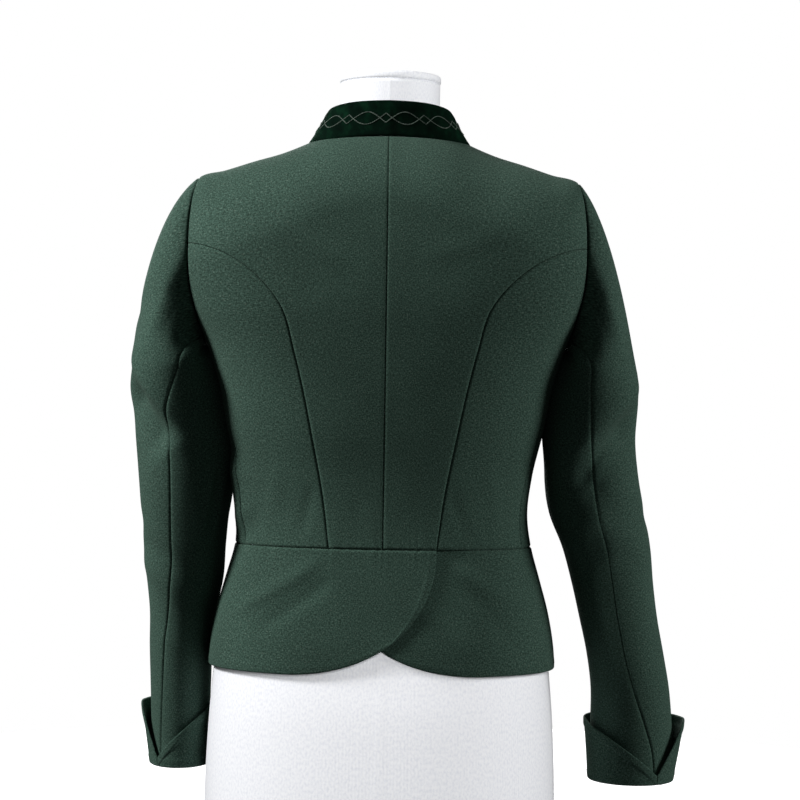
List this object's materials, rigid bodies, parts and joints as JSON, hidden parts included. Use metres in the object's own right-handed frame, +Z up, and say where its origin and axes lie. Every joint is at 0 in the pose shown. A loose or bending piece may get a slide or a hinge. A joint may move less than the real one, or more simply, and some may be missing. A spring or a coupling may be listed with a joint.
{
  "type": "short folk jacket on a limbless dress form",
  "caption": "Fitted green wool folk jacket with velvet stand collar, tulip peplum and turned-back cuffs, on a limbless dress form.",
  "frame": {"origin": "centre of the flat underside of the dress form, on the floor", "axes": "+Z up; the jacket's front faces -Y and its back +Y; +X is the wearer's left"},
  "size_m": [0.562, 0.2487, 0.7743],
  "materials": {
    "wool": "matt mottled dark green woollen weave",
    "velvet": "short-pile black-green velvet",
    "horn": "dull polished brown horn",
    "form_jersey": "smooth white jersey"
  },
  "bodies": {
    "root": {"back_left": "wool", "back_right": "wool", "side_back_left": "wool", "side_back_right": "wool", "side_front_left": "wool", "side_front_right": "wool", "front_left": "wool", "front_right": "wool", "peplum_left": "wool", "peplum_right": "wool", "collar": "velvet", "top_sleeve_left": "wool", "under_sleeve_left": "wool", "top_sleeve_right": "wool", "under_sleeve_right": "wool", "cuff_left": "wool", "cuff_right": "wool", "form_body": "form_jersey", "form_neck_cap": "form_jersey", "button_1": "horn", "button_2": "horn", "button_3": "horn", "button_4": "horn", "button_5": "horn", "button_6": "horn", "button_7": "horn"}
  },
  "joints": []
}
